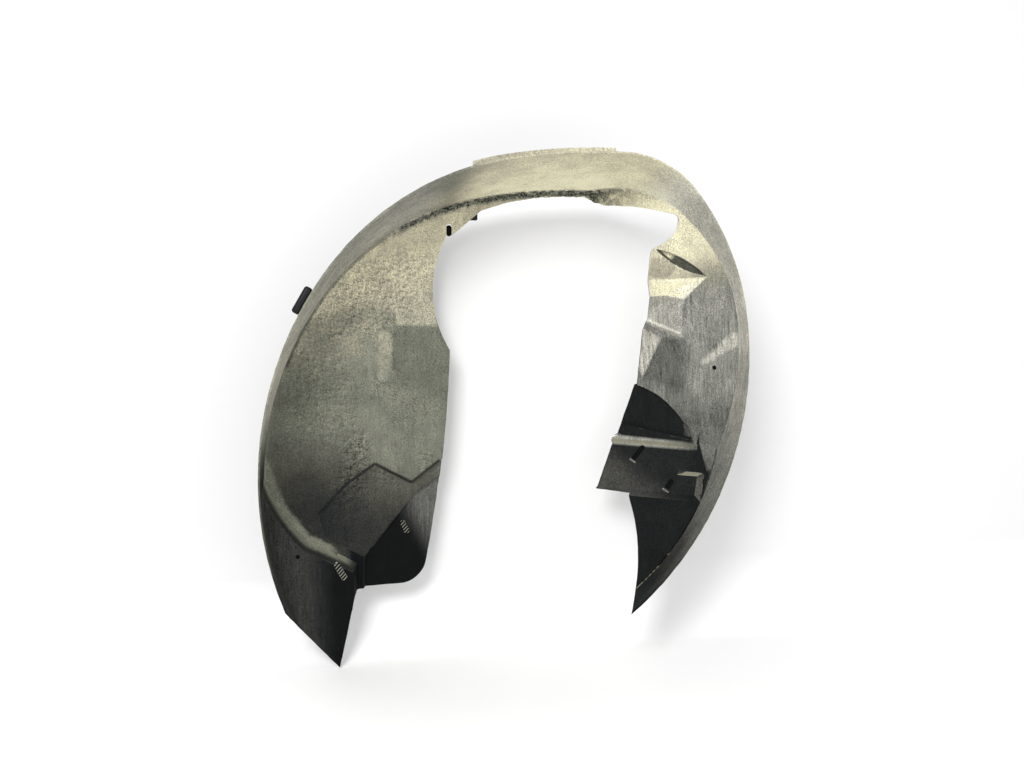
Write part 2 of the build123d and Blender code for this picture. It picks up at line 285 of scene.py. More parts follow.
# Dust of the parts with one gradient: the least of it, what the run adds, its way in X and Z, and its ends
GRADIENTS = {
    "tail": (0.002, 0.030, (1, 0), (-250, -315)),
    "lobe": (0.002, 0.085, (1, 0.6), (-280, -215)),
    "bead": (0.14, 0.06, (0, 1), (20, 80)),
    "flange": (0.36, 0.14, (1, 0), (20, 120)),
    "neck": (0.009, 0.10, (1, 0.33), (293.5, 299.5)),
    "plate": (0.012, 0.034, (1, 1), (130, 60)),
    "pocket": (0.012, 0.07, (0, 1), (-130, -145)),
}

# Dust round the barrel by degrees, the shares of it on edge and seam, the painted shade across the crown,
# darker by the rim and paler by the crease, and its loss at both ends; runs in mm about the hub or degrees
BARREL_DUST = (
    (-60, 0.01), (-20, 0.17), (0, 0.27), (24, 0.43), (40, 0.41), (53, 0.65), (78, 0.65), (93, 0.50),
    (104, 0.20), (115, 0.26), (141, 0.26), (175, 0.32), (205, 0.10), (225, 0.01),
)
EDGE_SHARE, SEAM_SHARE, SEAM_RUN = 0.6, 0.3, (-200, -140)
CROWN_SHADING, CROWN_RUN_Y, CROWN_RUN_Z = 0.35, (30, 140), (100, 240)
HEEL_LOSS, HEEL_RUN_ANGLE, HEEL_RUN_Y = 0.5, (-26, -40), (8, 30)
FOOT_SHARE = 0.12

# Dust on the lower panel, its scuffed place beside the tail, and the pale lip and dark corner at its foot
PANEL_BARE, PANEL_GREY, PANEL_GREY_RUN = 0.03, 0.10, (-240, -90)
PANEL_TAN, PANEL_TAN_RUN_Z, PANEL_TAN_RUN_X = 0.085, (0, 100), (-140, -200)
SCUFF_PLACE, SCUFF_LOSS, SCUFF_RUN = (-285, -155), 0.7, (130, 10)
STEP_SHARE = 0.72
PANEL_FOOT, LIP_DUST, LIP_RUN_GAP, LIP_RUN_X = -80, 0.15, (11, 5), (-240, -268)
CORNER_LOSS, CORNER_RUN_Z, CORNER_RUN_X = 0.92, (-236, -250), (-236, -226)

# Line above which the panel's dust is tan, waved on the left, straight on the right, and the dust above it
ARCH_SPLIT_X, ARCH_WAVE_Z, ARCH_WAVE_BLUR = -150, 118, 12
ARCH_WAVE, ARCH_WAVE_X, ARCH_WAVE_PACE = 16, -205, 45
ARCH_STRAIGHT_Z, ARCH_STRAIGHT_BLUR = 104, 4
TOP_DUST, TOP_EXTRA, TOP_LEAN, TOP_X, TOP_RUN = 0.27, 0.17, 0.35, -200, (100, 190)

# Dust on the ledge, by height inboard of the wall and by X
LEDGE_BARE, LEDGE_EXTRA, LEDGE_RUN_HEIGHT, LEDGE_RUN_X = 0.02, 0.14, (-24, -10), (-224, -240)

# Dust on the right wall, and on the facets above its shelf, on the plate's top and on the heel
SIDE_BARE, SIDE_GREY, SIDE_GREY_RUN = 0.09, 0.09, (-60, 20)
SIDE_TAN, SIDE_LEAN, SIDE_X, SIDE_TAN_RUN = 0.35, 0.6, 275, (130, 225)
SHELF_FACET, SHELF_FACET_FOOT, HEEL_FACET, HEEL_FACET_TOP = 0.6, 100, 0.22, -120
PLATE_FACET, PLATE_FACET_LOSS, PLATE_FACET_RUN = 0.2, 0.1, (230, 280)


def barrel_dust(x, z):
    """Dust on the barrel, by the angle round the hub."""
    angle = round_hub(x, z)
    for (start, low), (end, high) in zip(BARREL_DUST, BARREL_DUST[1:]):
        if angle <= end:
            return low + (high - low) * ramp(angle, start, end)
    return BARREL_DUST[-1][1]


def barrel_shade_and_dust_share(x, y, z):
    """Painted shade across the barrel's width under the crown, and the change of its dust towards its ends."""
    # Painted shade: darker by the rim, paler by the crease, only under the crown
    share = 1 + CROWN_SHADING * (ramp(y, *CROWN_RUN_Y) - 0.5) * ramp(z, *CROWN_RUN_Z)
    if x > 0:
        return share * (1 - HEEL_LOSS * ramp(round_hub(x, z), *HEEL_RUN_ANGLE) * ramp(y, *HEEL_RUN_Y))
    return share * (FOOT_SHARE + (1 - FOOT_SHARE) * ramp(barrel_rise(x, z), *BARREL_FOOT_RUN))


def lower_panel_dust(x, z):
    """Dust on the lower panel: grey, thinner downwards, and nearly bare round the scuffed place."""
    level = PANEL_BARE + PANEL_GREY * ramp(z, *PANEL_GREY_RUN)
    level += PANEL_TAN * ramp(z, *PANEL_TAN_RUN_Z) * ramp(x, *PANEL_TAN_RUN_X)
    return level * (1 - SCUFF_LOSS * ramp(math.dist((x, z), SCUFF_PLACE), *SCUFF_RUN))


def panel_dust(x, z):
    """Dust on the whole panel: tan above the arch line, grey below, with a pale lip by the ledge."""
    level = lower_panel_dust(x, z)
    if z < PANEL_FOOT:
        level *= 1 - CORNER_LOSS * ramp(z, *CORNER_RUN_Z) * ramp(x, *CORNER_RUN_X)
        return max(level, LIP_DUST * ramp(ledge_gap(x, z), *LIP_RUN_GAP) * ramp(x, *LIP_RUN_X))
    line, blur = ARCH_STRAIGHT_Z, ARCH_STRAIGHT_BLUR
    if x < ARCH_SPLIT_X:
        line = ARCH_WAVE_Z + ARCH_WAVE * math.cos((x - ARCH_WAVE_X) / ARCH_WAVE_PACE)
        blur = ARCH_WAVE_BLUR
    top = TOP_DUST + TOP_EXTRA * ramp(z - TOP_LEAN * (x - TOP_X), *TOP_RUN)
    return level + (top - level) * ramp(z, line - blur, line + blur)


def ledge_dust(place):
    """Dust on the ledge: thick near the wall, thin towards the cut-out."""
    height = wall_height(place, LEFT_WALL)
    return LEDGE_BARE + LEDGE_EXTRA * ramp(height, *LEDGE_RUN_HEIGHT) * ramp(place[0], *LEDGE_RUN_X)


def facet_dust(x, z):
    """Dust on the faces that look up: thick above the shelf, thinner on the plate and the heel."""
    if z > SHELF_FACET_FOOT:
        return SHELF_FACET
    if z < HEEL_FACET_TOP:
        return HEEL_FACET
    return PLATE_FACET - PLATE_FACET_LOSS * ramp(x, *PLATE_FACET_RUN)


def side_dust(x, z):
    """Dust on the right wall: thick under the crown, grey down to the heel."""
    level = SIDE_BARE + SIDE_GREY * ramp(z, *SIDE_GREY_RUN)
    return level + SIDE_TAN * ramp(z - SIDE_LEAN * (x - SIDE_X), *SIDE_TAN_RUN)


def dust_and_shade_level(zone, place):
    """How pale dust and painted shade make a zone of the wheel side at a place in mm about the hub."""
    x, y, z = place
    if zone in EVEN_DUST_AND_SHADE:
        return EVEN_DUST_AND_SHADE[zone]
    if zone in GRADIENTS:
        least, extra, (way_x, way_z), run = GRADIENTS[zone]
        return least + extra * ramp(way_x * x + way_z * z, *run)
    if zone == "barrel":
        return barrel_shade_and_dust_share(x, y, z) * barrel_dust(x, z)
    if zone == "edge":
        return EDGE_SHARE * barrel_dust(x, z)
    if zone == "seam":
        return SEAM_SHARE * ramp(z, *SEAM_RUN) * barrel_dust(x, z)
    if zone == "facet":
        return facet_dust(x, z)
    if zone == "ledge":
        return ledge_dust(place)
    if zone == "step":
        return STEP_SHARE * lower_panel_dust(x, z)
    return panel_dust(x, z) if zone == "panel" else side_dust(x, z)


# How strongly fibrous streaks show on each part, with less high on the walls and more at the barrel's ends
STREAKS = {
    "side": 0.42, "shelf": 0.30, "quarter": 0.34, "plate": 0.26, "blade": 0.30, "lens": 0.22, "facet": 0.08,
    "neck": 0.34, "pocket": 0.26, "seam": 0.30, "edge": 0.10, "tail": 0.34, "lobe": 0.34, "nook": 0.20,
    "step": 0.14, "ledge": 0.12, "bead": 0.10, "panel": 0.12, "flange": 0.08, "barrel": 0.10,
}
HIGH_LOSS, HIGH_RUN = 0.7, (130, 190)
RIGHT_END_STREAKS, RIGHT_END_RUN = 0.22, (200, 300)
LEFT_END_STREAKS, LEFT_END_RUN = 0.16, (-60, -130)


def streakiness(zone, place):
    """Strength of the streaks at a place in mm about the hub."""
    x, _, z = place
    if zone == "barrel":
        ends = RIGHT_END_STREAKS * ramp(x, *RIGHT_END_RUN) + LEFT_END_STREAKS * ramp(x, *LEFT_END_RUN)
        return STREAKS[zone] + ends
    return STREAKS[zone] * (1 - HIGH_LOSS * ramp(z, *HIGH_RUN))


# Crease between barrel and walls: limits of its normals, and its least distance from the wheel axis in metres
CREASE_NORMAL, CREASE_RADIUS = (0.3, 0.9), 0.26

# Painted shade along the left crease: its foot in mm about the hub, its strength, and where it fades in metres
CREASE_FOOT, CREASE_SHADE, CREASE_RUN = 40, 0.6, (0.003, 0.001)

# Dried mud along the crease under the crown: degrees where it starts and ends, reach in metres, and lumps
MUD_START, MUD_END, MUD_RUN, MUD_LEAST = (48, 62), (130, 116), (0.011, 0.0033), 0.02
MUD_CUTS, LUMP_SIZE, LUMP_DETAIL, LUMP_HEIGHT, LUMP_MIDDLE = 2, 0.009, 3, 0.006, 0.30

# Waves of the moulding, and the boxes in X and Z, in mm about the hub, where its relief edges are worn round
WAVE_SIZE, WAVE_DETAIL, WAVE_HEIGHT, WAVE_MIDDLE = 0.016, 2, 0.0014, 0.5
WORN_BOXES = ((-205, -135, 0, 112), (-296, -176, -262, -105), (266, 326, 40, 176))
WORN_FACTOR, WORN_PASSES = 0.5, 12

# Dust on the hidden side
BACK_DUST = 0.03


def crease_tree(mesh, front):
    """Search tree of the places where the barrel turns into a wall."""
    low, high = CREASE_NORMAL
    places = [
        face.center.copy() for face in mesh.polygons
        if front[face.index] and low < -face.normal.y < high and (face.center - HUB).xz.length > CREASE_RADIUS
    ]
    tree = kdtree.KDTree(len(places))
    for index, place in enumerate(places):
        tree.insert(place, index)
    tree.balance()
    return tree


def mud_share(place, near):
    """Share of dried mud at a place in mm about the hub, so far from the crease; only under the crown."""
    angle = round_hub(place[0], place[2])
    return ramp(angle, *MUD_START) * ramp(angle, *MUD_END) * ramp(near, *MUD_RUN)


def displace(piece, name, size, detail, height, middle, group=""):
    """Pushes the active piece's skin in and out by a cloudy texture, all over or where a vertex group says."""
    texture = bpy.data.textures.new(name, "CLOUDS")
    texture.noise_scale = size
    texture.noise_depth = detail
    push = piece.modifiers.new(name, "DISPLACE")
    push.texture = texture
    push.texture_coords = "LOCAL"
    push.vertex_group = group
    push.strength = height
    push.mid_level = middle
    bpy.ops.object.modifier_apply(modifier=push.name)


def crust(shell, creases, eye):
    """Raises dried mud along the crease under the crown, on finer faces."""
    mesh = shell.data
    only(shell)
    edit_mesh(selected=False)
    close_mesh()
    for face in mesh.polygons:
        share = mud_share(about_hub(face.center), creases.find(face.center)[2])
        face.select = wheel_side(face.center, face.normal, eye) and share > MUD_LEAST
    reopen_mesh()
    bpy.ops.mesh.subdivide(number_cuts=MUD_CUTS)
    close_mesh()
    group = shell.vertex_groups.new(name="lumpy")
    for vertex in mesh.vertices:
        if wheel_side(vertex.co, vertex.normal, eye):
            share = mud_share(about_hub(vertex.co), creases.find(vertex.co)[2])
            if share > 0:
                group.add([vertex.index], share, "REPLACE")
    displace(shell, "mud_lumps", LUMP_SIZE, LUMP_DETAIL, LUMP_HEIGHT, LUMP_MIDDLE, group.name)


def uneven(shell):
    """Slight waves all over, as a thin moulding takes with use, and rounder edges where reliefs are worn."""
    only(shell)
    displace(shell, "waves", WAVE_SIZE, WAVE_DETAIL, WAVE_HEIGHT, WAVE_MIDDLE)
    edit_mesh(selected=False)
    close_mesh()
    for vertex in shell.data.vertices:
        x, _, z = about_hub(vertex.co)
        vertex.select = any(left < x < right and low < z < high for left, right, low, high in WORN_BOXES)
    reopen_mesh()
    bpy.ops.mesh.select_mode(type="VERT")
    bpy.ops.mesh.vertices_smooth(factor=WORN_FACTOR, repeat=WORN_PASSES)
    close_mesh()


def faces_to_wheel(mesh, eye):
    """For each face, whether it is on the wheel side."""
    return [wheel_side(face.center, face.normal, eye) for face in mesh.polygons]


def keep_dust_and_shade(mesh, front, creases):
    """Keeps dust and painted shade, and mud, at each face corner, and side and streaks at each face, for the
    material to read.
    """
    for name, domain in (("dust", "CORNER"), ("mud", "CORNER"), ("front", "FACE"), ("streak", "FACE")):
        mesh.attributes.new(name, "FLOAT", domain)
    dust, mud, facing, streak = (mesh.attributes[name] for name in ("dust", "mud", "front", "streak"))
    for face in mesh.polygons:
        zone = dust_zone(about_hub(face.center), face.normal)
        facing.data[face.index].value = float(front[face.index])
        streak.data[face.index].value = streakiness(zone, about_hub(face.center))
        for loop in face.loop_indices:
            point = mesh.vertices[mesh.loops[loop].vertex_index].co
            place = about_hub(point)
            level, lumps = BACK_DUST, 0.0
            if front[face.index]:
                near = creases.find(point)[2]
                level, lumps = dust_and_shade_level(zone, place), mud_share(place, near)
                # Painted shade along the left crease, less where the mud lies
                if place[0] < 0 and place[2] > CREASE_FOOT:
                    level *= 1 - CREASE_SHADE * (1 - lumps) * ramp(near, *CREASE_RUN)
            dust.data[loop].value = level
            mud.data[loop].value = lumps


def shell_with_dust_and_shade():
    """The liner itself: a sliced copy of the CAD shell that keeps its dust and painted shade, with mud, waves
    and worn edges.
    """
    shell = copy_of("liner_shell", "liner_skin")
    slice_grid(shell, GRID)
    eye, _ = camera_place()
    creases = crease_tree(shell.data, faces_to_wheel(shell.data, eye))
    crust(shell, creases, eye)
    keep_dust_and_shade(shell.data, faces_to_wheel(shell.data, eye), creases)
    uneven(shell)
    bpy.ops.object.shade_smooth_by_angle(angle=SMOOTH_TURN)
    weighted = shell.modifiers.new("weighted", "WEIGHTED_NORMAL")
    weighted.keep_sharp = True
    bpy.ops.object.modifier_apply(modifier=weighted.name)
    return shell


def tone(red, green, blue):
    """Linear colour of a screen colour given in 8-bit steps."""
    shares = (step / 255 for step in (red, green, blue))
    linear = (((share + 0.055) / 1.055) ** 2.4 if share > 0.04 else share / 12.92 for share in shares)
    return *linear, 1


class Shade:
    """Short hand for building a node tree."""

    def __init__(self, tree):
        self.tree = tree

    def add(self, kind, inputs=(), **values):
        """New node, with its inputs linked or set and its own values set."""
        node = self.tree.nodes.new(kind)
        for name, value in values.items():
            setattr(node, name, value)
        for name, value in dict(inputs).items():
            if isinstance(value, bpy.types.NodeSocket):
                self.tree.links.new(value, node.inputs[name])
            else:
                node.inputs[name].default_value = value
        return node

    def work(self, operation, first, second=0.0, clamp=False):
        """Result of one step of arithmetic."""
        node = self.add("ShaderNodeMath", {0: first, 1: second}, operation=operation, use_clamp=clamp)
        return node.outputs[0]

    def plus(self, first, second):
        return self.work("ADD", first, second)

    def minus(self, first, second):
        return self.work("SUBTRACT", first, second)

    def times(self, first, second):
        return self.work("MULTIPLY", first, second)

    def noise(self, vector, scale, detail=4.0, rough=0.6):
        inputs = {"Vector": vector, "Scale": scale, "Detail": detail, "Roughness": rough}
        return self.add("ShaderNodeTexNoise", inputs).outputs["Fac"]

    def stretch(self, vector, scale, turn=(0, 0, 0)):
        return self.add("ShaderNodeMapping", {"Vector": vector, "Scale": scale, "Rotation": turn}).outputs[0]

    def between(self, value, low, high, to_low=0.0, to_high=1.0):
        inputs = {"Value": value, "From Min": low, "From Max": high, "To Min": to_low, "To Max": to_high}
        return self.add("ShaderNodeMapRange", inputs).outputs["Result"]

    def attribute(self, name):
        return self.add("ShaderNodeAttribute", attribute_name=name).outputs["Fac"]

    def colours(self, value, stops):
        """Colour at a value, between two or more stops of a place and a colour each."""
        node = self.add("ShaderNodeValToRGB", {"Fac": value})
        elements = node.color_ramp.elements
        elements[0].position, elements[0].color = stops[0]
        elements[1].position, elements[1].color = stops[-1]
        for position, colour in stops[1:-1]:
            elements.new(position).color = colour
        return node.outputs["Color"]


def node_group(name, numbers, results):
    """New node group that takes a place and some numbers: the group, its short hand and what it is given."""
    group = bpy.data.node_groups.new(name, "ShaderNodeTree")
    group.interface.new_socket("Place", in_out="INPUT", socket_type="NodeSocketVector")
    for number in numbers:
        group.interface.new_socket(number, in_out="INPUT", socket_type="NodeSocketFloat")
    for result in results:
        group.interface.new_socket(result, in_out="OUTPUT", socket_type="NodeSocketFloat")
    s = Shade(group)
    return group, s, s.add("NodeGroupInput").outputs


def edge_side_group():
    """Mask that is 1 left of a line from A to B in X and Z, with a soft edge; places in mm about the hub."""
    group, s, given = node_group("edge_side", ("AX", "AZ", "BX", "BZ", "Softness"), ("Mask",))
    xyz = s.add("ShaderNodeSeparateXYZ", {0: given["Place"]}).outputs
    along_x, along_z = s.minus(given["BX"], given["AX"]), s.minus(given["BZ"], given["AZ"])
    from_x, from_z = s.minus(xyz["X"], given["AX"]), s.minus(xyz["Z"], given["AZ"])
    cross = s.minus(s.times(along_x, from_z), s.times(along_z, from_x))
    length = s.work("SQRT", s.plus(s.times(along_x, along_x), s.times(along_z, along_z)))
    distance = s.work("DIVIDE", cross, length)
    mask = s.work("ADD", s.work("DIVIDE", distance, given["Softness"]), 0.5, clamp=True)
    s.add("NodeGroupOutput", {"Mask": mask})
    return group


def patch(s, place, group, corners, softness):
    """Mask of a patch with straight sides, its corners given anticlockwise in mm about the hub."""
    mask = 1.0
    for index, (start, end) in enumerate(zip(corners, corners[1:] + corners[:1])):
        side = s.add("ShaderNodeGroup", node_tree=group)
        side.inputs["AX"].default_value, side.inputs["AZ"].default_value = start
        side.inputs["BX"].default_value, side.inputs["BZ"].default_value = end
        side.inputs["Softness"].default_value = softness[index] if isinstance(softness, tuple) else softness
        s.tree.links.new(place, side.inputs["Place"])
        mask = s.times(mask, side.outputs["Mask"])
    return mask


def strip(start, end, width):
    """Corners of a straight strip between two places."""
    start, end = Vector(start), Vector(end)
    along = (end - start).normalized()
    side = Vector((-along.y, along.x)) * (width / 2)
    return [tuple(start - side), tuple(end - side), tuple(end + side), tuple(start + side)]


# Marks with hard edges, of dust and of painted light and shade: corners anticlockwise in mm about the hub,
# softness of all sides or of each, paleness there, and the share of the old dust that is kept
MARKS = [
    # Panel to the right of the bead, a painted highlight on the bead's crown and painted shade along its sides
    ([(-152, 104), (-152, 8), (-40, -40), (-40, 104)], (2.0, 30.0, 2.0, 2.0), 0.0, 0.85),
    (
        [(-186, 24), (-178, 14), (-166, 18), (-163, 84), (-170, 94), (-186, 94)],
        (10.0, 6.0, 6.0, 6.0, 8.0, 12.0), 0.04, 1.0,
    ),
    (strip((-157, 34), (-156, 92), 6.0), 5.0, 0.0, 0.55),
    (strip((-156, 90), (-176, 104), 4.0), 4.0, 0.0, 0.65),
    # Disc under the lens, and the lens's pale end
    ([(256, 186), (266, 181), (282, 183), (291, 195), (288, 207), (274, 214), (258, 214)], 4.0, 0.0, 0.62),
    ([(268, 234), (278, 219), (286, 211), (294, 222), (280, 236)], (2.0, 2.0, 6.0, 2.0, 2.0), 0.48, 0.0),
    # Facet above the shelf, a painted highlight along the shelf's lower edge, and the dark and pale fields
    # below it
    ([(256, 178), (258, 158), (300, 146), (328, 181)], 3.0, 0.62, 0.0),
    ([(252, 116), (252, 112), (295, 90), (296, 93)], 2.0, 0.45, 0.2),
    ([(278, 84), (254, 10), (316, -10), (312, 60), (300, 82)], (2.0, 20.0, 24.0, 16.0, 6.0), 0.0, 0.52),
    ([(250, 100), (250, 30), (256, 18), (277, 84)], 3.0, 0.1, 1.1),
    # Smear by the hole of the right wall
    ([(328, 47), (332, 40), (372, 76), (366, 96)], 6.0, 0.24, 0.5),
    # Plate's top edge, pale with dust and a painted highlight, the pale ends of its slots, and painted shadow
    # in the wedge beside it
    ([(180, -96), (312, -98), (312, -88), (180, -81)], (4.0, 60.0, 4.0, 4.0), 0.25, 0.1),
    (strip((240, -124.5), (233, -119), 2.4), 1.5, 0.16, 0.0),
    (strip((278, -166.5), (271, -161), 2.4), 1.5, 0.16, 0.0),
    ([(332, -74), (322, -133), (336, -136)], 1.5, 0.008, 0.0),
]

# Painted shade along the top of the step, as marks
CRACK = ((-280, -195), (-237, -150), (-189, -118), (-129, -151), (-82, -117))
CRACK_WIDTH, CRACK_SOFTNESS, CRACK_SHADE, CRACK_KEPT = 5.0, 3.0, 0.008, 0.12
MARKS += [
    (strip(start, end, CRACK_WIDTH), CRACK_SOFTNESS, CRACK_SHADE, CRACK_KEPT)
    for start, end in zip(CRACK, CRACK[1:])
]

# Wrinkled patches of the left wall: corners anticlockwise in mm about the hub, edge softness, strength
# The strength sets their bumps and the painted light and shade on their sides
WRINKLED = (
    ([(-310, 100), (-230, 50), (-190, 70), (-120, 120), (-90, 230), (-180, 230), (-260, 180)], 60.0, 1.15),
    ([(-345, 90), (-330, -60), (-230, -90), (-215, 60), (-260, 110)], 60.0, 0.7),
    ([(-262, -172), (-212, -188), (-196, -80), (-225, -55)], 24.0, 1.6),
    ([(-192, -156), (-156, -156), (-156, -122), (-192, -122)], 16.0, 1.0),
    ([(-120, -138), (-92, -138), (-92, -100), (-120, -100)], 16.0, 1.0),
)

# Layers of the grain: scale, detail and roughness of their noise
FINE, FINE_PATCHES, MOTTLE = (460, 3, 0.7), (20, 3, 0.6), (26, 5, 0.6)
SHORT_FIBRES, LONG_FIBRES, FIBRE_PATCHES = (400, 4, 0.75), (210, 3, 0.7), (48, 3, 0.6)
LEATHER, WRINKLES = (190, 5, 0.7), (215, 2, 0.55)

# Spans of those noises, and what they become
FINE_SPAN, FINE_SHARE = (0.34, 0.66, -1.0, 1.0), (0.35, 0.65, 0.25, 0.55)
MOTTLE_SHARE = (0.3, 0.7, 0.80, 1.20)
SHORT_SPAN, LONG_SPAN = (0.34, 0.66, -0.7, 0.7), (0.36, 0.64, -0.6, 0.6)
FIBRE_SHARE = (0.35, 0.65, 0.4, 1.5)

# Stretch and lean of the fibres and wrinkles, the shift in metres at which the wrinkles are looked up again to
# paint light and shade on their sides, the lift that makes up for what the grain takes, the strength of that
# painted shade, and the heights of the wrinkles and the grain
SHORT_STRETCH, LONG_STRETCH, LONG_LEAN = (1.0, 1.0, 0.14), (1.0, 1.0, 0.07), (0.0, 0.08, 0.0)
WRINKLE_STRETCH, WRINKLE_LEAN, WRINKLE_EMBOSS_SHIFT = (0.45, 1.0, 1.0), (0.0, -0.7, 0.0), (0.0008, 0.0, -0.0008)
GRAIN_LIFT, WRINKLE_SHADING, WRINKLE_HEIGHT, FINE_HEIGHT = 1.07, 6.0, 2.5, 0.4

# Crumbs of the dried mud: noise, span and paleness, their dimming in the core, and how the mud covers the dust
CRUMBS, CRUMB_SPAN, CORE_DIMMING = (330, 4, 0.7), (0.42, 0.62, 0.015, 0.34), (0.0, 1.0, 1.0, 0.55)
MUD_PATCHES, MUD_PATCH_SPAN, CORE_SPAN, CORE_COVER = (90, 3, 0.6), (0.36, 0.5), (0.7, 1.0), 0.75

# Colours of the liner by paleness, the greying by streaks, and the skin's finish
DUST_COLOURS = (
    (0.0, tone(5, 6, 7)), (0.012, tone(26, 29, 30)), (0.05, tone(64, 63, 57)), (0.17, tone(113, 115, 103)),
    (0.3, tone(151, 147, 129)), (0.4, tone(172, 166, 146)), (0.58, tone(202, 197, 169)),
    (0.85, tone(231, 227, 195)),
)
GREYING = (0.12, 0.30, 1.0, 0.5)
SKIN_ROUGHNESS, SKIN_SHINE, BUMP_STRENGTH, BUMP_DISTANCE = 0.75, 0.06, 0.6, 0.0014


def grain_group():
    """Factor of fine grain, cloudy mottling, upright streaks and painted light and shade on the wrinkles'
    sides, and their height.
    """
    group, s, given = node_group("dust_grain_and_painted_shade", ("Streaks", "Wrinkled"), ("Factor", "Height"))
    place = given["Place"]
    fine = s.noise(place, *FINE)
    fine_share = s.between(s.noise(place, *FINE_PATCHES), *FINE_SHARE)
    grain = s.plus(1.0, s.times(s.between(fine, *FINE_SPAN), fine_share))
    mottled = s.between(s.noise(place, *MOTTLE), *MOTTLE_SHARE)
    short = s.between(s.noise(s.stretch(place, SHORT_STRETCH), *SHORT_FIBRES), *SHORT_SPAN)
    long = s.between(s.noise(s.stretch(place, LONG_STRETCH, LONG_LEAN), *LONG_FIBRES), *LONG_SPAN)
    fibre_share = s.between(s.noise(place, *FIBRE_PATCHES), *FIBRE_SHARE)
    fibres = s.times(s.times(s.plus(short, long), fibre_share), given["Streaks"])
    lower = s.add("ShaderNodeVectorMath", {0: place, 1: WRINKLE_EMBOSS_SHIFT}, operation="ADD").outputs[0]
    turned = (s.stretch(at, (1.0, 1.0, 1.0), WRINKLE_LEAN) for at in (place, lower))
    wrinkles, under = (s.noise(s.stretch(at, WRINKLE_STRETCH), *WRINKLES) for at in turned)
    # Painted light and shade on the wrinkles' sides: the shifted wrinkles less the wrinkles, laid into the
    # colour
    emboss_shade = s.times(s.times(s.minus(under, wrinkles), WRINKLE_SHADING), given["Wrinkled"])
    height = s.plus(s.times(fine, FINE_HEIGHT), s.noise(place, *LEATHER))
    s.add("NodeGroupOutput", {
        "Factor": s.times(s.times(grain, mottled), s.plus(s.plus(GRAIN_LIFT, fibres), emboss_shade)),
        "Height": s.plus(height, s.times(s.times(wrinkles, WRINKLE_HEIGHT), given["Wrinkled"])),
    })
    return group


def mud_group():
    """Dried mud over the dust: paleness of its crumbs, darkest along its core, and how far it covers."""
    group, s, given = node_group("dried_mud", ("Mud", "Level"), ("Level",))
    core = s.between(given["Mud"], *CORE_SPAN)
    crumbs = s.between(s.noise(given["Place"], *CRUMBS), *CRUMB_SPAN)
    crumbs = s.times(crumbs, s.between(core, *CORE_DIMMING))
    patchy = s.between(s.noise(given["Place"], *MUD_PATCHES), *MUD_PATCH_SPAN)
    cover = s.work("MAXIMUM", s.times(given["Mud"], patchy), s.times(core, CORE_COVER))
    bare = s.times(given["Level"], s.minus(1.0, cover))
    s.add("NodeGroupOutput", {"Level": s.plus(bare, s.times(crumbs, cover))})
    return group


def marked(s, level, front, about, group):
    """Dust level with the hard-edged marks, of dust and of painted light and shade, laid over it."""
    for corners, softness, paleness, kept in MARKS:
        mask = s.times(patch(s, about, group, corners, softness), front)
        kept_part = s.minus(1.0, s.times(mask, 1.0 - kept))
        level = s.plus(s.times(level, kept_part), s.times(mask, paleness))
    return level


def wrinkled(s, front, about, group):
    """Strength of the wrinkles on the wheel side, for their bumps and for their painted light and shade."""
    strongest = 0.0
    for corners, softness, strength in WRINKLED:
        strongest = s.work("MAXIMUM", s.times(patch(s, about, group, corners, softness), strength), strongest)
    return s.times(strongest, front)


def liner_material():
    """Black moulding under dust, streaks, marks and dried mud, with painted light and shade, as its mesh keeps
    them.
    """
    material = bpy.data.materials.new("dusty_liner_with_painted_shade")
    material.use_nodes = True
    material.node_tree.nodes.clear()
    s = Shade(material.node_tree)
    place = s.add("ShaderNodeTexCoord").outputs["Object"]
    about = s.add("ShaderNodeVectorMath", {0: place, 1: HUB}, operation="SUBTRACT").outputs[0]
    about = s.add("ShaderNodeVectorMath", {0: about, "Scale": 1 / MM}, operation="SCALE").outputs[0]
    front, streak = s.attribute("front"), s.attribute("streak")
    sides = edge_side_group()
    # The dust attribute also holds painted shade in the left crease, under the crown and in the lens and
    # quarter
    level = marked(s, s.attribute("dust"), front, about, sides)
    grain = s.add("ShaderNodeGroup", node_tree=grain_group())
    s.tree.links.new(place, grain.inputs["Place"])
    s.tree.links.new(streak, grain.inputs["Streaks"])
    s.tree.links.new(wrinkled(s, front, about, sides), grain.inputs["Wrinkled"])
    mud = s.add("ShaderNodeGroup", node_tree=mud_group())
    s.tree.links.new(place, mud.inputs["Place"])
    s.tree.links.new(s.attribute("mud"), mud.inputs["Mud"])
    s.tree.links.new(s.work("MULTIPLY", level, grain.outputs["Factor"], clamp=True), mud.inputs["Level"])
    greyed = s.add("ShaderNodeHueSaturation", {
        "Color": s.colours(mud.outputs["Level"], DUST_COLOURS),
        "Saturation": s.between(streak, *GREYING),
    })
    bump = s.add("ShaderNodeBump", {
        "Height": grain.outputs["Height"], "Strength": BUMP_STRENGTH, "Distance": BUMP_DISTANCE,
    })
    surface = s.add("ShaderNodeBsdfPrincipled", {
        "Base Color": greyed.outputs["Color"], "Roughness": SKIN_ROUGHNESS, "Specular IOR Level": SKIN_SHINE,
        "Normal": bump.outputs["Normal"],
    })
    s.add("ShaderNodeOutputMaterial", {"Surface": surface.outputs[0]})
    return material


def plain_material(name, roughness, shine):
    """New material and its one surface node, whose colour is set later."""
    material = bpy.data.materials.new(name)
    material.use_nodes = True
    surface = material.node_tree.nodes["Principled BSDF"]
    surface.inputs["Roughness"].default_value = roughness
    surface.inputs["Specular IOR Level"].default_value = shine
    return material, surface


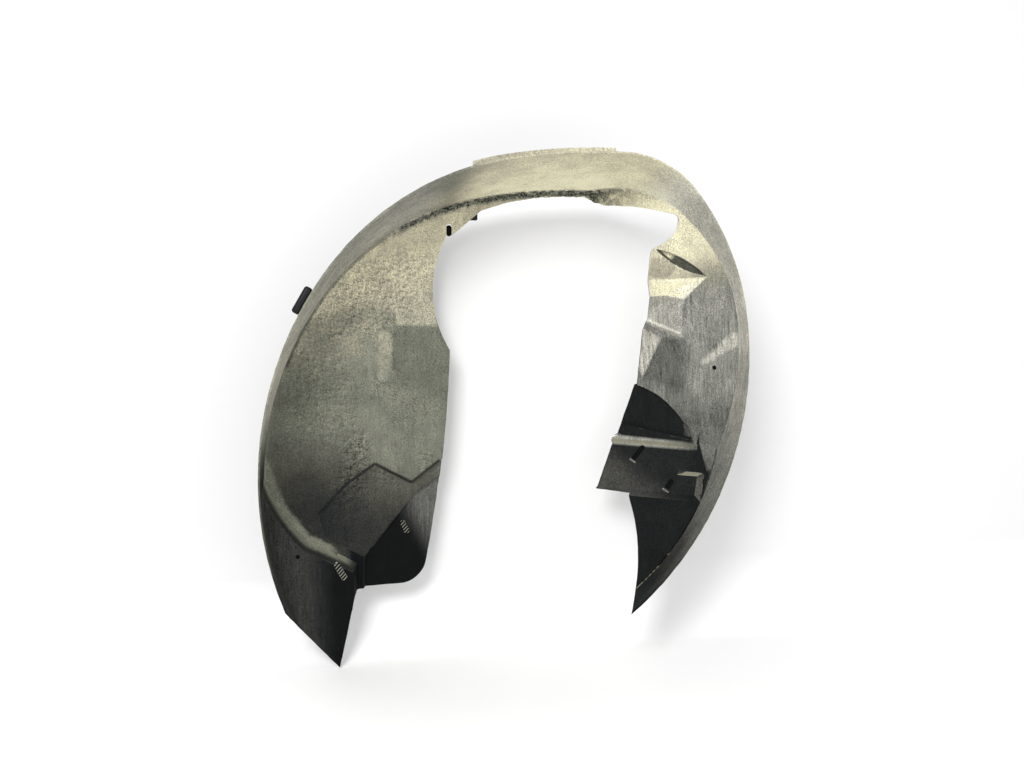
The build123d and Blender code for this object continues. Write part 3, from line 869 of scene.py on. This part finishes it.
# Packed dirt and clips: colours, finish, and the stripes scraped across the dirt
DIRT_COLOURS = ((0.70, tone(8, 9, 9)), (0.95, tone(140, 140, 128)))
DIRT_ROUGHNESS, DIRT_SHINE, STRIPE_SCALE, STRIPE_WAVER = 0.9, 0.1, 100.0, 1.0
CLIP_COLOUR, CLIP_ROUGHNESS, CLIP_SHINE = tone(11, 12, 15), 0.45, 0.2
CLIP_FLAT_TURN, CLIP_SMOOTH_TURN = math.radians(1), math.radians(30)
CLIP_BEVEL, CLIP_BEVEL_STEPS, CLIP_BEVEL_TURN = 0.0040, 5, math.radians(40)


def dirt_material(stripes):
    """Black packed dirt, with pale stripes scraped across it as strongly as said, or none."""
    material, surface = plain_material(f"packed_dirt_{round(100 * stripes)}", DIRT_ROUGHNESS, DIRT_SHINE)
    s = Shade(material.node_tree)
    place = s.add("ShaderNodeTexCoord").outputs["Object"]
    waves = s.add("ShaderNodeTexWave", {
        "Vector": s.stretch(place, (1.0, 0.0, -1.0)), "Scale": STRIPE_SCALE, "Distortion": STRIPE_WAVER,
    }, bands_direction="DIAGONAL").outputs["Fac"]
    colour = s.colours(s.times(waves, stripes), DIRT_COLOURS)
    s.tree.links.new(colour, surface.inputs["Base Color"])
    return material


def clip_material():
    """Clean black of the clips."""
    material, surface = plain_material("black_clip", CLIP_ROUGHNESS, CLIP_SHINE)
    surface.inputs["Base Color"].default_value = CLIP_COLOUR
    return material


# Holes and slots packed with dirt: wall, place along and up it, rise of the skin, length and width in mm,
# turn in degrees, and strength of the stripes
PLUGS = (
    (LEFT_WALL, (44, -252), 32, 7, 7, 0, 0.0),
    (LEFT_WALL, (226, -199), -14, 4, 4, 0, 0.0),
    (LEFT_WALL, (224, -227), -14, 24, 9, 118, 0.95),
    (LEFT_WALL, (110, -281), 32, 32, 9, 120, 1.0),
    (RIGHT_WALL, (-35, 37), 0, 7, 7, 0, 0.0),
    (HEEL_WALL, (-108, 76), 10, 30, 9, 58, 0.0),
    (HEEL_WALL, (-47, 27), 10, 19, 9, 60, 0.0),
    (LEFT_WALL, (298, 258), 0, 18, 9, 90, 0.0),
)
PLUG_DEPTH, PLUG_THICKNESS, PLUG_GAP = 1.4, 1.0, 0.1
PLUG_ROUND, PLUG_STEPS = 0.49, 8


def wall_frame(wall):
    """Foot of a wall plane and its axes: along it, up it and towards the wheel."""
    foot, fall_x, fall_z = wall
    along = Vector((1, fall_x, 0)).normalized()
    out = Vector((fall_x, -1, fall_z)).normalized()
    return Vector(foot), along, out.cross(along), out


def dirt_plug(wall, place, rise, length, width, turn):
    """Flat plug with round ends, set a little behind the skin of a wall."""
    foot, along, up, out = wall_frame(wall)
    turn = math.radians(turn)
    long_way = along * math.cos(turn) + up * math.sin(turn)
    centre = foot + along * place[0] + up * place[1] + out * (rise - PLUG_DEPTH)
    bpy.ops.mesh.primitive_cube_add(size=MM)
    plug = bpy.context.active_object
    plug.scale = (length - 2 * PLUG_GAP, width - 2 * PLUG_GAP, PLUG_THICKNESS)
    bpy.ops.object.transform_apply(location=True, rotation=True, scale=True)
    edit_mesh(selected=False)
    bpy.ops.mesh.select_mode(type="EDGE")
    close_mesh()
    for edge in plug.data.edges:
        first, last = (plug.data.vertices[index].co for index in edge.vertices)
        edge.select = abs(first.z - last.z) > PLUG_THICKNESS * MM / 2
    reopen_mesh()
    bpy.ops.mesh.bevel(offset=PLUG_ROUND * (width - 2 * PLUG_GAP) * MM, segments=PLUG_STEPS)
    bpy.ops.mesh.select_mode(type="VERT")
    close_mesh()
    turned = Matrix((long_way, out.cross(long_way), out)).transposed().to_4x4()
    plug.matrix_world = Matrix.Translation(HUB + centre * MM) @ turned
    bpy.ops.object.transform_apply(location=True, rotation=True, scale=True)
    return plug


def packed_dirt():
    """All the plugs as one piece."""
    strengths = sorted({plug[-1] for plug in PLUGS})
    materials = {stripes: dirt_material(stripes) for stripes in strengths}
    plugs = []
    for *shape, stripes in PLUGS:
        plug = dirt_plug(*shape)
        plug.data.materials.append(materials[stripes])
        plugs.append(plug)
    only(plugs[0])
    for plug in plugs:
        plug.select_set(True)
    bpy.ops.object.join()
    plugs[0].name = "packed_dirt"
    return plugs[0]


def soften_clip(clip):
    """Rounds the sharp edges of a clip, as moulded."""
    only(clip)
    edit_mesh(selected=True)
    bpy.ops.mesh.dissolve_limited(angle_limit=CLIP_FLAT_TURN)
    close_mesh()
    bevel = clip.modifiers.new("soft_edges", "BEVEL")
    bevel.width = CLIP_BEVEL
    bevel.segments = CLIP_BEVEL_STEPS
    bevel.limit_method = "ANGLE"
    bevel.angle_limit = CLIP_BEVEL_TURN
    bpy.ops.object.modifier_apply(modifier=bevel.name)
    bpy.ops.object.shade_smooth_by_angle(angle=CLIP_SMOOTH_TURN)


def backdrop_sheet(floor, wall):
    """Pale floor that sweeps up into a wall behind the liner."""
    bpy.ops.mesh.primitive_plane_add(size=2 * STAGE_REACH, location=(0, wall - STAGE_REACH, floor))
    sheet = bpy.context.active_object
    sheet.name = "backdrop"
    bpy.ops.object.transform_apply(location=True, rotation=True, scale=True)
    edit_mesh(selected=False)
    close_mesh()
    for edge in sheet.data.edges:
        edge.select = all(sheet.data.vertices[v].co.y > wall - PICK_SLACK for v in edge.vertices)
    reopen_mesh()
    bpy.ops.mesh.extrude_edges_move(TRANSFORM_OT_translate={"value": (0, 0, STAGE_REACH)})
    bpy.ops.mesh.select_all(action="DESELECT")
    close_mesh()
    for edge in sheet.data.edges:
        ends = [sheet.data.vertices[v].co for v in edge.vertices]
        edge.select = all(end.y > wall - PICK_SLACK and end.z < floor + PICK_SLACK for end in ends)
    reopen_mesh()
    bpy.ops.mesh.bevel(offset=SWEEP_RADIUS, segments=SWEEP_STEPS)
    close_mesh()
    bpy.ops.object.shade_smooth()
    return sheet


def backdrop_material(floor):
    """White, less so up the wall, the floor painted paler to make up for the weaker light on it; seen from
    behind, it is clear.
    """
    material = bpy.data.materials.new("backdrop_white")
    material.use_nodes = True
    material.node_tree.nodes.clear()
    s = Shade(material.node_tree)
    back = s.add("ShaderNodeNewGeometry").outputs["Backfacing"]
    place = s.add("ShaderNodeTexCoord").outputs["Object"]
    height = s.add("ShaderNodeSeparateXYZ", {0: place}).outputs["Z"]
    paleness = s.between(height, floor, floor + SWEEP_RADIUS, FLOOR_WHITE, WALL_WHITE)
    white = s.add("ShaderNodeBsdfDiffuse", {"Color": paleness}).outputs[0]
    clear = s.add("ShaderNodeBsdfTransparent").outputs[0]
    mixed = s.add("ShaderNodeMixShader", {0: back, 1: white, 2: clear}).outputs[0]
    s.add("ShaderNodeOutputMaterial", {"Surface": mixed})
    return material


def backdrop():
    """The sheet under and behind the liner."""
    low, high = cad_box
    floor = low.z - FLOOR_BELOW
    sheet = backdrop_sheet(floor, high.y + WALL_BEHIND)
    sheet.data.materials.append(backdrop_material(floor))


def camera():
    """Camera at the photograph's viewing angle."""
    place, back = camera_place()
    data = bpy.data.cameras.new("camera")
    data.sensor_fit = "HORIZONTAL"
    data.sensor_width = SENSOR_WIDTH
    data.lens = FOCAL_PIXELS * SENSOR_WIDTH / IMAGE_WIDTH
    eye = bpy.data.objects.new("camera", data)
    eye.location = place
    eye.rotation_euler = (-back).to_track_quat("-Z", "Y").to_euler()
    bpy.context.scene.collection.objects.link(eye)
    bpy.context.scene.camera = eye


def lamp(name, place, size, power, shadow):
    """Square lamp that is aimed at the middle of the liner."""
    data = bpy.data.lights.new(name, "AREA")
    data.size = size
    data.energy = power
    data.use_shadow = shadow
    light = bpy.data.objects.new(name, data)
    light.location = place
    light.rotation_euler = (-Vector(place)).to_track_quat("-Z", "Y").to_euler()
    bpy.context.scene.collection.objects.link(light)


def studio():
    """White surroundings, a key lamp and a fill lamp without shadow."""
    world = bpy.data.worlds.new("studio")
    bpy.context.scene.world = world
    world.use_nodes = True
    background = world.node_tree.nodes["Background"]
    background.inputs["Color"].default_value = (1, 1, 1, 1)
    background.inputs["Strength"].default_value = SURROUNDINGS
    lamp("key", KEY_PLACE, KEY_SIZE, KEY_POWER, shadow=True)
    lamp("fill", FILL_PLACE, FILL_SIZE, FILL_POWER, shadow=False)
    bpy.context.scene.view_settings.view_transform = "Standard"


shell = shell_with_dust_and_shade()
shell.data.materials.append(liner_material())
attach(shell, "root")
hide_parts("liner_shell")
black = clip_material()
for node in ("edge_clip", "flange_clip"):
    clip = copy_of(node, node + "_body")
    soften_clip(clip)
    clip.data.materials.append(black)
    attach(clip, "root")
    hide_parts(node)
dirt = packed_dirt()
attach(dirt, "root")
backdrop()
camera()
studio()
